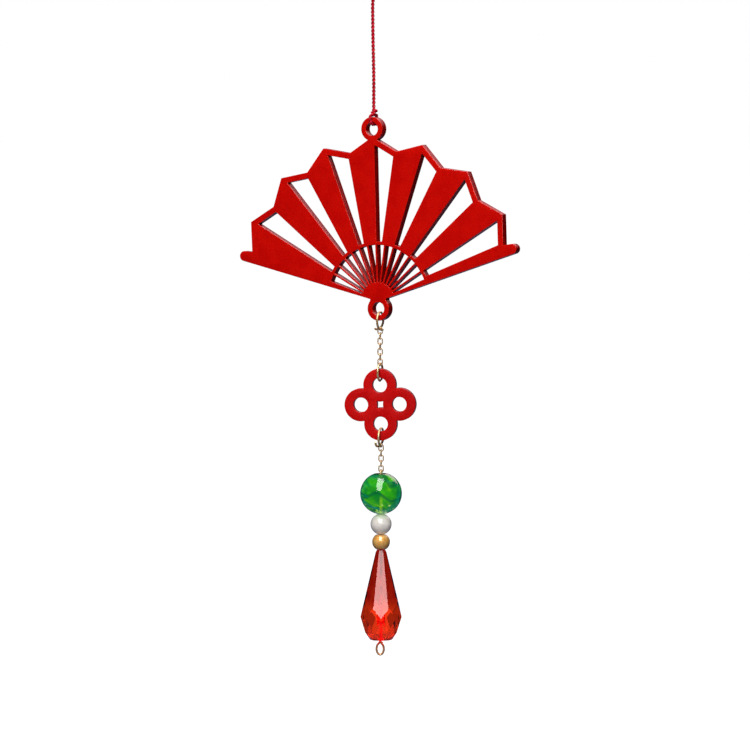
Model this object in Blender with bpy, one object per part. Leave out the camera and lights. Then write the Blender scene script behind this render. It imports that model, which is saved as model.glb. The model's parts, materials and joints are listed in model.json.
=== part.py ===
"""Hanging charm: a pierced fan-shaped plate on a twisted cord, with a chain, a lobed plate and beads below.

The frame's origin is the point where the cord's top loop bears on its hook. +Z is up and the fan's front
faces -Y. Every height below is worked down the hanging line from that point.
"""

from math import asin, atan2, cos, pi, radians, sin, sqrt, tau

import bmesh
import bpy
from mathutils import Quaternion, Vector

MM = 0.001
RIGHT = Vector((1.0, 0.0, 0.0))
BACK = Vector((0.0, 1.0, 0.0))
UP = Vector((0.0, 0.0, 1.0))

# Cord
CORD_R = 0.6 * MM
CORD_SIDES = 8
HANG_TO_EYE = 60.0 * MM
HOOK_LOOP_HEIGHT = 15.0 * MM
HOOK_LOOP_BEND = 2.9 * MM
HOOK_LOOP_FLAT = 0.7 * MM
HOOK_KNOT_R = 1.7 * MM
HOOK_LOOP_END_X = 0.72 * MM
HOOK_LOOP_END_RISE = 0.6 * MM
FAN_LOOP_HALF_WIDTH = 2.25 * MM
FAN_LOOP_CORNER = 0.75 * MM
FAN_LOOP_REACH = 1.4 * MM
FAN_LOOP_ARCH = 1.2 * MM
FAN_KNOT_R = 0.95 * MM
FAN_KNOT_STAND = 0.8 * MM
CORD_TAIL = 1.1 * MM
CORD_TAIL_RISE = 1.0 * MM
CORD_TAIL_R = 0.4 * MM
CORD_GAP = 0.3 * MM

# Fan plate, measured from the point where its ribs would meet
BOARD = 3.0 * MM
PLEATS = 7
HALF_PLEAT = radians(9.94)
PEAK_R = 54.7 * MM
VALLEY_R = 50.3 * MM
EYE_TO_RAYS = 57.3 * MM
RAYS_TO_FOOT_EYE = 2.42 * MM
EYE_OUTER_R = 4.0 * MM
EYE_HOLE_R = 2.2 * MM
NECK_HALF_WIDTH = 2.95 * MM
NECK_RISE = radians(42)
GUARD_EDGE = radians(73.9)
GUARD_TIP_R = 1.7 * MM
GUARD_LENGTH = 52.8 * MM
RIM = 2.0 * MM
PANE_INNER_R = 19.9 * MM
PANE_INSET = 1.2 * MM
PANE_LEFT_INSET = 0.25 * MM
PANE_LEAN = radians(0.8)
SLOT_OUTER_R = 18.8 * MM
SLOT_INNER_R = 6.4 * MM
RIB_HALF = 0.32 * MM
GUARD_INSET = 0.5 * MM
FAN_TILT = radians(-2.3)

# Lobed plate, cut from the same board
LOBE_OFFSET = 6.48 * MM
LOBE_R = 5.5 * MM
LOBE_HOLE_R = 2.45 * MM
LOBED_PLATE_TURN = radians(18.8)
LOBED_PLATE_TILT = radians(-1.4)

# Jump rings and chain links. A turn is about Z, from facing -Y.
RING_R = 2.9 * MM
LOW_RING_R = 3.05 * MM
RING_WIRE_R = 0.375 * MM
RING_OPENING = radians(16)
RING_CUT = radians(-55)
HOLE_EDGE_TO_RING = 1.85 * MM
HOLE_EDGE_TO_LOW_RING = 2.08 * MM
LINK_LENGTH = 2.66 * MM
LINK_WIDTH = 1.88 * MM
LINK_WIRE_R = 0.2 * MM
WIRE_GAP = 0.12 * MM
UPPER_LINKS = 7
LOWER_LINKS = 5
FAN_RING_TURN = radians(7)
UPPER_CHAIN_TURN = radians(19)
CHARM_RING_TURN = radians(11)
LOWER_CHAIN_TURN = radians(22)

# Eye pin
PIN_R = 0.38 * MM
TOP_EYE_R = 1.0 * MM
TOP_EYE_START = radians(-30)
TOP_EYE_END = radians(235)
TOP_EYE_NECK = 1.12
TOP_EYE_NECK_ASIDE = 0.12 * MM
TOP_EYE_FOOT = 1.5
FOOT_EYE_HALF_WIDTH = 1.21 * MM
FOOT_EYE_HALF_HEIGHT = 1.94 * MM
FOOT_EYE_DROP = 3.15 * MM
FOOT_EYE_ASIDE = -0.3 * MM
FOOT_EYE_START = radians(112)
FOOT_EYE_SWEEP = radians(318)
WIRE_PAIR_HALF = 0.4 * MM
WIRE_BEND = 0.55 * MM
WIRE_END = 0.45 * MM

# Beads, each with a flat round its bore where it meets its neighbour
BEAD_GAP = 0.08 * MM
BEAD_BORE_R = 0.6 * MM
EYE_TO_GREEN = 6.75 * MM
GREEN_R = 7.0 * MM
GREEN_FLAT_R = 1.0 * MM
POCKET_R = 1.75 * MM
POCKET_DEPTH = 2.3 * MM
PEARL_R = 3.53 * MM
PEARL_FLAT_R = 1.1 * MM
GOLD_R = 2.98 * MM
GOLD_FLAT_R = 1.6 * MM

# Faceted drop: apothems and heights below its top
DROP_SIDES = 8
DROP_TURN = radians(27 - 90)
DROP_TOP_R = 1.37 * MM
DROP_SHOULDER_R = 1.8 * MM
DROP_SHOULDER = 0.8 * MM
DROP_CORNER = 19.4 * MM
DROP_GIRDLE_R = 6.9 * MM
DROP_GIRDLE = 22.55 * MM
DROP_LOWER_R = 5.7 * MM
DROP_LOWER = 27.6 * MM
DROP_FOOT_R = 3.75 * MM
DROP_HEIGHT = 30.15 * MM

RED_LACQUER = (0.58, 0.004, 0.006)
CRIMSON_CORD = (0.42, 0.004, 0.01)
PALE_GOLD = (0.78, 0.53, 0.26)
GREEN_GLASS = (0.05, 0.36, 0.04)
PEARL_WHITE = (0.80, 0.76, 0.70)
SATIN_GOLD = (0.75, 0.33, 0.06)
RED_GLASS = (0.60, 0.01, 0.01)


# ---------------------------------------------------------------- scene and material helpers


def clear_scene():
    for old in list(bpy.data.objects):
        bpy.data.objects.remove(old, do_unlink=True)


def make_material(name, colour, roughness, metallic=0.0, transmission=0.0):
    material = bpy.data.materials.new(name)
    material.use_nodes = True
    shader = material.node_tree.nodes["Principled BSDF"]
    shader.inputs["Base Color"].default_value = (*colour, 1.0)
    shader.inputs["Roughness"].default_value = roughness
    shader.inputs["Metallic"].default_value = metallic
    shader.inputs["Transmission Weight"].default_value = transmission
    return material


def add_object(name, solid, material, place=(0.0, 0.0, 0.0), tilt=0.0, turn=0.0):
    """Make a named object from a bmesh. Its origin goes to place, tilted about Y and turned about Z."""
    bmesh.ops.recalc_face_normals(solid, faces=solid.faces)
    mesh = bpy.data.meshes.new(name)
    solid.to_mesh(mesh)
    solid.free()
    mesh.materials.append(material)
    part = bpy.data.objects.new(name, mesh)
    part.location = place
    part.rotation_euler = (0.0, tilt, turn)
    bpy.context.collection.objects.link(part)
    return part


def join_to(part, extra):
    """Join a hidden object's solid to part."""
    extra.hide_render = True
    extra.display_type = "WIRE"
    union = part.modifiers.new(extra.name, "BOOLEAN")
    union.object = extra
    union.operation = "UNION"
    union.solver = "EXACT"


# ---------------------------------------------------------------- swept, turned and flat solids


def sweep(path, radius, sides, start_across, closed=False):
    """Sweep a round section along a path, carrying the section's frame along without twist."""
    count = len(path)
    solid = bmesh.new()
    rings = []
    across = start_across.normalized()
    last_tangent = None
    for i, point in enumerate(path):
        ahead = path[(i + 1) % count] if closed or i < count - 1 else point
        behind = path[i - 1] if closed or i > 0 else point
        tangent = (ahead - behind).normalized()
        if last_tangent is not None:
            across = last_tangent.rotation_difference(tangent) @ across
        across = (across - tangent * across.dot(tangent)).normalized()
        last_tangent = tangent
        ring = []
        for k in range(sides):
            spoke = Quaternion(tangent, tau * (k + 0.5) / sides) @ across
            ring.append(solid.verts.new(point + radius * spoke))
        rings.append(ring)
    bands = list(zip(rings, rings[1:]))
    if closed:
        bands.append((rings[-1], rings[0]))
    else:
        solid.faces.new(rings[0])
        solid.faces.new(rings[-1])
    for first, second in bands:
        add_band(solid, first, second)
    return solid


def add_band(solid, first, second):
    """Join two rings of equal count with quads."""
    for i in range(len(first)):
        solid.faces.new((first[i - 1], first[i], second[i], second[i - 1]))


def add_ring(solid, radius, height, count, phase=0.0):
    ring = []
    for i in range(count):
        angle = phase + tau * i / count
        ring.append(solid.verts.new((radius * cos(angle), radius * sin(angle), height)))
    return ring


def turned(profile, segments):
    """Turn a closed profile of (radius, height) points about Z."""
    solid = bmesh.new()
    rings = [add_ring(solid, radius, height, segments) for radius, height in profile]
    for k, ring in enumerate(rings):
        add_band(solid, rings[k - 1], ring)
    return solid


def ball(radius, place):
    solid = bmesh.new()
    bmesh.ops.create_icosphere(solid, subdivisions=2, radius=radius)
    bmesh.ops.translate(solid, verts=solid.verts, vec=place)
    return solid


def arc(centre, radius, start, end, steps):
    """Points on an arc in a flat outline. Angles run from the first axis towards the second."""
    points = []
    for i in range(steps + 1):
        angle = start + (end - start) * i / steps
        points.append(Vector((centre[0] + radius * cos(angle), centre[1] + radius * sin(angle))))
    return points


def round_hole(centre, radius, steps):
    return arc(centre, radius, 0.0, tau, steps)[:-1]


def plate(outline, openings, thickness):
    """Extrude a flat outline with openings, given in X and Z, to a board centred on Y = 0."""
    solid = bmesh.new()
    edges = []
    for loop in [outline, *openings]:
        verts = [solid.verts.new((point[0], -thickness / 2, point[1])) for point in loop]
        for i, vert in enumerate(verts):
            edges.append(solid.edges.new((verts[i - 1], vert)))
    filled = bmesh.ops.triangle_fill(solid, edges=edges, use_beauty=True)
    faces = [item for item in filled["geom"] if isinstance(item, bmesh.types.BMFace)]
    extruded = bmesh.ops.extrude_face_region(solid, geom=faces, use_keep_orig=True)
    moved = [item for item in extruded["geom"] if isinstance(item, bmesh.types.BMVert)]
    bmesh.ops.translate(solid, verts=moved, vec=(0.0, thickness, 0.0))
    return solid


# ---------------------------------------------------------------- cord


def hook_loop_path():
    """The cord's top loop in the XZ plane, from one end in the knot to the other, over a level crown."""
    end_z = -HOOK_LOOP_HEIGHT + HOOK_LOOP_END_RISE
    bend_z = CORD_R - HOOK_LOOP_BEND
    drop = bend_z - end_z
    run = HOOK_LOOP_FLAT - HOOK_LOOP_END_X
    lean = asin(HOOK_LOOP_BEND / sqrt(drop**2 + run**2)) + atan2(run, drop)
    right = arc((HOOK_LOOP_FLAT, bend_z), HOOK_LOOP_BEND, -lean, pi / 2, 9)
    points = [Vector((HOOK_LOOP_END_X, end_z)), *right]
    points += [Vector((-p.x, p.y)) for p in reversed(points)]
    return [Vector((p.x, 0.0, p.y)) for p in points]


def add_hanging_cord(material):
    """The strand, its hook loop and the knot that ties the loop, as one piece of cord."""
    knot_z = -HOOK_LOOP_HEIGHT
    strand_foot = -HANG_TO_EYE + fan_knot_rise() + FAN_KNOT_R + CORD_GAP
    strand = sweep([UP * strand_foot, UP * knot_z], CORD_R, CORD_SIDES, RIGHT)
    cord = add_object("hanging_cord", strand, material)
    join_to(cord, add_object("hook_loop", sweep(hook_loop_path(), CORD_R, CORD_SIDES, BACK), material))
    join_to(cord, add_object("hook_knot", ball(HOOK_KNOT_R, UP * knot_z), material))


def fan_knot_rise():
    """How far the knot's centre lies above the centre of the fan's eye."""
    wall_middle = (EYE_HOLE_R + EYE_OUTER_R) / 2
    return wall_middle + FAN_LOOP_ARCH + FAN_KNOT_STAND


def fan_loop_path():
    """The closed tie through the fan's eye, in the YZ plane, measured from the eye's centre."""
    side_y = FAN_LOOP_HALF_WIDTH
    corner_y = side_y - FAN_LOOP_CORNER
    corner_z = FAN_LOOP_REACH + FAN_LOOP_CORNER
    arch_z = fan_knot_rise() - FAN_LOOP_ARCH
    right = arc((corner_y, corner_z), FAN_LOOP_CORNER, -pi / 2, 0.0, 4)
    for i in range(6):
        angle = (pi / 2) * i / 6
        right.append(Vector((side_y * cos(angle), arch_z + FAN_LOOP_ARCH * sin(angle))))
    crown = [Vector((0.0, fan_knot_rise()))]
    left = [Vector((-p.x, p.y)) for p in reversed(right)]
    return [Vector((0.0, p.x, p.y)) for p in right + crown + left]


def add_fan_loop(material):
    """The tie through the fan's eye, its knot and the short cut tail, as one piece of cord."""
    eye = UP * -HANG_TO_EYE
    knot = eye + UP * fan_knot_rise()
    tie = sweep([eye + p for p in fan_loop_path()], CORD_R, CORD_SIDES, RIGHT, closed=True)
    loop = add_object("fan_loop", tie, material)
    join_to(loop, add_object("fan_knot", ball(FAN_KNOT_R, knot), material))
    tail_path = [knot, knot + RIGHT * CORD_TAIL + UP * CORD_TAIL_RISE]
    join_to(loop, add_object("cord_tail", sweep(tail_path, CORD_TAIL_R, CORD_SIDES, BACK), material))


# ---------------------------------------------------------------- fan plate


def on_ray(angle, radius, aside=0.0):
    """A point at a radius on the ray at an angle from upright, moved aside at right angles to the ray."""
    return Vector((radius * sin(angle) + aside * cos(angle), radius * cos(angle) - aside * sin(angle)))


def meet(start, along, other_start, other_along):
    """Where two lines in the plate's plane meet."""
    cross = along.x * other_along.y - along.y * other_along.x
    gap = other_start - start
    return start + along * ((gap.x * other_along.y - gap.y * other_along.x) / cross)


def peak_angle(k):
    return (2 * k - PLEATS - 1) * HALF_PLEAT


def peak(k):
    return on_ray(peak_angle(k), PEAK_R)


def valley(k):
    return on_ray(peak_angle(k) + HALF_PLEAT, VALLEY_R)


def top_eye_arc():
    """The eye over the middle peak, clockwise from its left neck notch to its right one."""
    centre = Vector((0.0, EYE_TO_RAYS))
    middle = PLEATS // 2 + 1
    along = (valley(middle) - peak(middle)).normalized()
    offset = peak(middle) - centre
    inward = offset.dot(along)
    reach = sqrt(inward**2 - offset.length_squared + EYE_OUTER_R**2) - inward
    half_neck = asin((peak(middle) + along * reach).x / EYE_OUTER_R)
    return arc(centre, EYE_OUTER_R, 3 * pi / 2 - half_neck, half_neck - pi / 2, 18)


def foot_eye_arc():
    """The eye under the rays, clockwise from its right neck round its foot to its left neck."""
    return arc((0.0, -RAYS_TO_FOOT_EYE), EYE_OUTER_R, NECK_RISE, -pi - NECK_RISE, 16)


def guard_tip(side):
    """The rounded end of a guard, from its upper edge to its lower edge. side is 1 on the right."""
    lean = asin(GUARD_TIP_R / GUARD_LENGTH)
    centre = on_ray(side * (GUARD_EDGE - lean), GUARD_LENGTH)
    outward = pi / 2 - side * GUARD_EDGE
    return arc(centre, GUARD_TIP_R, outward + side * pi / 2, outward - side * pi / 2, 8)


def fan_outline():
    """Clockwise from the left guard's tip, over the zigzag rim, and back under the foot eye."""
    outline = list(reversed(guard_tip(-1)))
    outline.append(valley(0))
    for k in range(1, PLEATS + 1):
        if k == PLEATS // 2 + 1:
            outline.extend(top_eye_arc())
        else:
            outline.append(peak(k))
        outline.append(valley(k))
    outline.extend(guard_tip(1))
    neck_r = NECK_HALF_WIDTH / sin(GUARD_EDGE)
    outline.append(on_ray(GUARD_EDGE, neck_r))
    outline.extend(foot_eye_arc())
    outline.append(on_ray(-GUARD_EDGE, neck_r))
    return outline


def pane(k):
    """The window in the right half of pleat k, from its left foot clockwise. Both sides lean off the rays."""
    rim_along = (valley(k) - peak(k)).normalized()
    rim_start = peak(k) + Vector((rim_along.y, -rim_along.x)) * RIM
    left_angle = peak_angle(k)
    right_angle = left_angle + HALF_PLEAT
    left_foot = on_ray(left_angle, PANE_INNER_R, PANE_LEFT_INSET)
    right_foot = on_ray(right_angle, PANE_INNER_R, -PANE_INSET)
    left_top = meet(left_foot, on_ray(left_angle + PANE_LEAN, 1.0), rim_start, rim_along)
    right_top = meet(right_foot, on_ray(right_angle + PANE_LEAN, 1.0), rim_start, rim_along)
    return [left_foot, left_top, right_top, right_foot]


def slot(j):
    """The opening between rays j and j + 1, counted from the left guard."""
    left_angle = (j - PLEATS) * HALF_PLEAT
    right_angle = left_angle + HALF_PLEAT
    left_half = GUARD_INSET if j == 0 else RIB_HALF
    right_half = GUARD_INSET if j == 2 * PLEATS - 1 else RIB_HALF
    return [
        on_ray(left_angle, SLOT_INNER_R, left_half),
        on_ray(left_angle, SLOT_OUTER_R, left_half),
        on_ray((left_angle + right_angle) / 2, SLOT_OUTER_R),
        on_ray(right_angle, SLOT_OUTER_R, -right_half),
        on_ray(right_angle, SLOT_INNER_R, -right_half),
    ]


def add_fan_plate(material):
    """The fan rocks about its top eye, so its mesh is measured from that eye's centre."""
    openings = [round_hole((0.0, EYE_TO_RAYS), EYE_HOLE_R, 24)]
    openings.append(round_hole((0.0, -RAYS_TO_FOOT_EYE), EYE_HOLE_R, 24))
    openings.extend(pane(k) for k in range(1, PLEATS + 1))
    openings.extend(slot(j) for j in range(2 * PLEATS))
    solid = plate(fan_outline(), openings, BOARD)
    bmesh.ops.translate(solid, verts=solid.verts, vec=UP * -EYE_TO_RAYS)
    add_object("fan_plate", solid, material, UP * -HANG_TO_EYE, tilt=FAN_TILT)


def plate_point(x, z, tilt, turn):
    """Where a point of a plate lands when the plate is tilted about Y and then turned about Z."""
    return Quaternion(UP, turn) @ (Quaternion(BACK, tilt) @ Vector((x, 0.0, z)))


# ---------------------------------------------------------------- lobed plate


def lobed_outlines():
    """The outer outline of four overlapping discs and the small opening left in their middle."""
    spread = sqrt(2 * LOBE_R**2 - LOBE_OFFSET**2)
    outer_notch = (LOBE_OFFSET + spread) / 2
    inner_notch = (LOBE_OFFSET - spread) / 2
    outer_half = atan2(outer_notch, outer_notch - LOBE_OFFSET)
    inner_half = atan2(inner_notch, LOBE_OFFSET - inner_notch)
    outer, inner = [], []
    for quarter in range(4):
        facing = quarter * pi / 2
        centre = (LOBE_OFFSET * cos(facing), LOBE_OFFSET * sin(facing))
        outer.extend(arc(centre, LOBE_R, facing - outer_half, facing + outer_half, 14)[:-1])
        inner.extend(arc(centre, LOBE_R, facing + pi + inner_half, facing + pi - inner_half, 2)[:-1])
    return outer, inner


def add_lobed_plate(material, hole_place):
    """The plate turns about its top hole, so its mesh is measured from that hole's centre."""
    outer, inner = lobed_outlines()
    openings = [inner]
    for quarter in range(4):
        facing = quarter * pi / 2
        openings.append(round_hole((LOBE_OFFSET * cos(facing), LOBE_OFFSET * sin(facing)), LOBE_HOLE_R, 20))
    solid = plate(outer, openings, BOARD)
    bmesh.ops.translate(solid, verts=solid.verts, vec=UP * -LOBE_OFFSET)
    add_object("lobed_plate", solid, material, hole_place, LOBED_PLATE_TILT, LOBED_PLATE_TURN)


# ---------------------------------------------------------------- jump rings and chain links


def add_jump_ring(name, material, centre, turn, radius=RING_R, pivot_above=0.0):
    """An open wire ring in the YZ plane, turned about Z. Its origin is pivot_above its centre."""
    cut = RING_CUT + RING_OPENING / 2
    flat = arc((0.0, -pivot_above), radius, cut, cut + tau - RING_OPENING, 28)
    path = [Vector((0.0, p.x, p.y)) for p in flat]
    place = centre + UP * pivot_above
    add_object(name, sweep(path, RING_WIRE_R, 8, RIGHT), material, place, turn=turn)


def add_link(name, material, pivot, pivot_wire_r, turn):
    """A closed oval link in the XZ plane. Its origin is the wire it hangs on, inside its top bend."""
    bend = LINK_WIDTH / 2 - LINK_WIRE_R
    straight = LINK_LENGTH - 2 * LINK_WIRE_R - 2 * bend
    crest = LINK_WIRE_R + WIRE_GAP + pivot_wire_r
    flat = arc((0.0, crest - bend), bend, 0.0, pi, 8)
    flat += arc((0.0, crest - bend - straight), bend, pi, tau, 8)
    path = [Vector((p.x, 0.0, p.y)) for p in flat]
    add_object(name, sweep(path, LINK_WIRE_R, 6, BACK, closed=True), material, pivot, turn=turn)
    return pivot + UP * (crest - LINK_LENGTH + 2 * LINK_WIRE_R)


def add_chain(prefix, count, material, pivot, turn):
    """Links hanging from a ring, each turned a quarter against the one above. Returns the last foot wire."""
    pivot_wire_r = RING_WIRE_R
    for i in range(count):
        pivot = add_link(f"{prefix}_{i + 1}", material, pivot, pivot_wire_r, turn + (i % 2) * pi / 2)
        pivot_wire_r = LINK_WIRE_R
    return pivot


# ---------------------------------------------------------------- eye pin, beads and drop


def eye_pin_path(pivot_to_eye, foot_z):
    """One wire from the top eye in the YZ plane, down the stem, to the foot eye in the XZ plane."""
    eye_z = -pivot_to_eye
    top = arc((0.0, eye_z), TOP_EYE_R, TOP_EYE_START, TOP_EYE_END, 14)
    path = [Vector((0.0, p.x, p.y)) for p in top]
    path.append(Vector((0.0, -TOP_EYE_NECK_ASIDE, eye_z - TOP_EYE_NECK * TOP_EYE_R)))
    path.append(Vector((0.0, 0.0, eye_z - TOP_EYE_FOOT * TOP_EYE_R)))
    centre_z = foot_z - FOOT_EYE_DROP
    path.append(Vector((0.0, 0.0, foot_z)))
    path.append(Vector((-WIRE_PAIR_HALF, 0.0, foot_z - WIRE_BEND)))
    steps = 16
    for i in range(steps + 1):
        angle = FOOT_EYE_START + FOOT_EYE_SWEEP * i / steps
        x = FOOT_EYE_ASIDE + FOOT_EYE_HALF_WIDTH * cos(angle)
        path.append(Vector((x, 0.0, centre_z + FOOT_EYE_HALF_HEIGHT * sin(angle))))
    path.append(Vector((WIRE_PAIR_HALF, 0.0, foot_z - WIRE_END)))
    return path


def bead_profile(radius, top_r, foot_r, steps):
    """Outer half of a round bead's section, from its top flat to its foot flat."""
    start = pi / 2 - asin(top_r / radius)
    end = asin(foot_r / radius) - pi / 2
    return [(p.x, p.y) for p in arc((0.0, 0.0), radius, start, end, steps)]


def pole(radius, flat_r):
    """The height of a round bead's flat above its centre."""
    return sqrt(radius**2 - flat_r**2)


def add_green_bead(material, centre, turn):
    """The top bead has a wide pocket that the pin's eye sinks into."""
    floor = pole(GREEN_R, POCKET_R) - POCKET_DEPTH
    profile = bead_profile(GREEN_R, POCKET_R, GREEN_FLAT_R, 16)
    profile += [(BEAD_BORE_R, -pole(GREEN_R, GREEN_FLAT_R)), (BEAD_BORE_R, floor), (POCKET_R, floor)]
    add_object("green_bead", turned(profile, 32), material, centre, turn=turn)


def add_plain_bead(name, material, centre, radius, flat_r, segments):
    height = pole(radius, flat_r)
    profile = bead_profile(radius, flat_r, flat_r, 10)
    profile += [(BEAD_BORE_R, -height), (BEAD_BORE_R, height)]
    add_object(name, turned(profile, segments), material, centre)


def drop_corner_apothem():
    """The long facets are flat, so their apothem grows evenly from the shoulder to the girdle points."""
    share = (DROP_CORNER - DROP_SHOULDER) / (DROP_GIRDLE - DROP_SHOULDER)
    return DROP_SHOULDER_R + share * (DROP_GIRDLE_R - DROP_SHOULDER_R)


def drop_solid():
    """Eight long facets that end in points, two rows of small facets under them, and a bore."""
    half = pi / DROP_SIDES
    solid = bmesh.new()
    top = add_ring(solid, DROP_TOP_R / cos(half), 0.0, DROP_SIDES, half)
    shoulder = add_ring(solid, DROP_SHOULDER_R / cos(half), -DROP_SHOULDER, DROP_SIDES, half)
    corner = add_ring(solid, drop_corner_apothem() / cos(half), -DROP_CORNER, DROP_SIDES, half)
    girdle = add_ring(solid, DROP_GIRDLE_R, -DROP_GIRDLE, DROP_SIDES)
    lower = add_ring(solid, DROP_LOWER_R, -DROP_LOWER, DROP_SIDES, half)
    foot = add_ring(solid, DROP_FOOT_R, -DROP_HEIGHT, DROP_SIDES)
    bore_foot = add_ring(solid, BEAD_BORE_R, -DROP_HEIGHT, DROP_SIDES)
    bore_top = add_ring(solid, BEAD_BORE_R, 0.0, DROP_SIDES, half)
    add_band(solid, top, shoulder)
    for i in range(DROP_SIDES):
        solid.faces.new((shoulder[i - 1], shoulder[i], corner[i], girdle[i], corner[i - 1]))
        solid.faces.new((corner[i - 1], girdle[i], lower[i - 1], girdle[i - 1]))
        solid.faces.new((girdle[i], lower[i], lower[i - 1]))
        solid.faces.new((lower[i - 1], lower[i], foot[i]))
        solid.faces.new((lower[i - 1], foot[i], foot[i - 1]))
        solid.faces.new((bore_foot[i], bore_top[i], bore_top[i - 1]))
        solid.faces.new((bore_foot[i], bore_foot[i - 1], bore_top[i - 1]))
    add_band(solid, foot, bore_foot)
    add_band(solid, bore_top, top)
    bmesh.ops.triangulate(solid, faces=solid.faces)
    return solid


# ---------------------------------------------------------------- assembly


def build():
    clear_scene()
    cord = make_material("crimson_cord", CRIMSON_CORD, 0.8)
    lacquer = make_material("red_lacquer", RED_LACQUER, 0.25)
    gold_wire = make_material("pale_gold_wire", PALE_GOLD, 0.2, metallic=1.0)
    green = make_material("green_glass", GREEN_GLASS, 0.08, transmission=0.6)
    pearl = make_material("pearl", PEARL_WHITE, 0.2)
    satin_gold = make_material("satin_gold", SATIN_GOLD, 0.3, metallic=1.0)
    red_glass = make_material("red_glass", RED_GLASS, 0.05, transmission=0.8)

    add_hanging_cord(cord)
    add_fan_loop(cord)
    add_fan_plate(lacquer)

    to_foot_eye = EYE_TO_RAYS + RAYS_TO_FOOT_EYE
    foot_eye = plate_point(0.0, -to_foot_eye, FAN_TILT, 0.0) - UP * HANG_TO_EYE

    fan_ring = foot_eye - UP * (EYE_HOLE_R + HOLE_EDGE_TO_RING)
    add_jump_ring("fan_ring", gold_wire, fan_ring, FAN_RING_TURN)
    foot_wire = add_chain("upper_link", UPPER_LINKS, gold_wire, fan_ring - UP * RING_R, UPPER_CHAIN_TURN)

    pivot_to_ring = RING_R - LINK_WIRE_R - WIRE_GAP - RING_WIRE_R
    top_ring = foot_wire - UP * pivot_to_ring
    add_jump_ring("charm_top_ring", gold_wire, top_ring, CHARM_RING_TURN, pivot_above=pivot_to_ring)

    top_hole = top_ring - UP * (HOLE_EDGE_TO_RING + LOBE_HOLE_R)
    add_lobed_plate(lacquer, top_hole)
    bottom_hole = top_hole + plate_point(0.0, -2 * LOBE_OFFSET, LOBED_PLATE_TILT, LOBED_PLATE_TURN)
    bottom_ring = bottom_hole - UP * (LOBE_HOLE_R + HOLE_EDGE_TO_LOW_RING)
    add_jump_ring("charm_bottom_ring", gold_wire, bottom_ring, CHARM_RING_TURN, LOW_RING_R)
    low_pivot = bottom_ring - UP * LOW_RING_R
    foot_wire = add_chain("lower_link", LOWER_LINKS, gold_wire, low_pivot, LOWER_CHAIN_TURN)

    pivot_to_eye = TOP_EYE_R - LINK_WIRE_R - WIRE_GAP - PIN_R
    green_centre = foot_wire - UP * (pivot_to_eye + EYE_TO_GREEN)
    pearl_centre = green_centre - UP * (pole(GREEN_R, GREEN_FLAT_R) + BEAD_GAP + pole(PEARL_R, PEARL_FLAT_R))
    gold_centre = pearl_centre - UP * (pole(PEARL_R, PEARL_FLAT_R) + BEAD_GAP + pole(GOLD_R, GOLD_FLAT_R))
    drop_top = gold_centre - UP * (pole(GOLD_R, GOLD_FLAT_R) + BEAD_GAP)
    foot_z = drop_top.z - DROP_HEIGHT - foot_wire.z
    pin = sweep(eye_pin_path(pivot_to_eye, foot_z), PIN_R, 8, RIGHT)
    add_object("eye_pin", pin, gold_wire, foot_wire, turn=LOWER_CHAIN_TURN)
    add_green_bead(green, green_centre, LOWER_CHAIN_TURN)
    add_plain_bead("pearl_bead", pearl, pearl_centre, PEARL_R, PEARL_FLAT_R, 24)
    add_plain_bead("gold_bead", satin_gold, gold_centre, GOLD_R, GOLD_FLAT_R, 24)
    add_object("red_drop", drop_solid(), red_glass, drop_top, turn=DROP_TURN)


build()
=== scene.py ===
"""Looks of the hanging fan charm: lacquered boards, twisted cord, gilt wire, beads and a faceted drop.

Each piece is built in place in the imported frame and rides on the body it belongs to. +Z is up, the fan's
front faces -Y, and the origin is where the cord bears on its hook. Lengths are in metres.
"""

import json
from math import acos, atan2, ceil, cos, exp, pi, radians, sin, sqrt, tau
from random import Random

import bmesh
import bpy
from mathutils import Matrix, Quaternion, Vector, noise


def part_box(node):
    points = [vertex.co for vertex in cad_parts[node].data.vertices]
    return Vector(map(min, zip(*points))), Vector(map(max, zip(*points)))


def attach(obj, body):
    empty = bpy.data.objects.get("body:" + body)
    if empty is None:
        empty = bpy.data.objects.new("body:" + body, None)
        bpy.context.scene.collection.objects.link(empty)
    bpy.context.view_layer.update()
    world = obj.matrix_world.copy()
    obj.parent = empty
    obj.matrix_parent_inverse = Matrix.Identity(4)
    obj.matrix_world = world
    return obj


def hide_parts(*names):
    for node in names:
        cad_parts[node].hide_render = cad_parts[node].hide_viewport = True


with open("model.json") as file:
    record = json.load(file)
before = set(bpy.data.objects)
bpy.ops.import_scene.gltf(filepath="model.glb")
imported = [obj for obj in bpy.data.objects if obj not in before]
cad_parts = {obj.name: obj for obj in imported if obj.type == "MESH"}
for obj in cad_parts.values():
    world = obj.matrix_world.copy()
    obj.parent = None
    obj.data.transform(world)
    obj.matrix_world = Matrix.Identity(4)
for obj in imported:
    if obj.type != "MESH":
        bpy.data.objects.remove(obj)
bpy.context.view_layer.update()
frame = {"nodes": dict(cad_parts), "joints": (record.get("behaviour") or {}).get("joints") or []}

MM = 0.001
RIGHT = Vector((1.0, 0.0, 0.0))
BACK = Vector((0.0, 1.0, 0.0))
UP = Vector((0.0, 0.0, 1.0))

# Boards
ARRIS = 0.17 * MM
ARRIS_STEPS = 4
PLY_GROOVE = 0.035 * MM
PLY_GROOVE_HALF = 0.06 * MM
CORNER_TURN = radians(27)
CHORD_LIMIT = 2.2 * MM
CHORD_PARTS = 4
BOARD_SHARP = radians(35)

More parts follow.
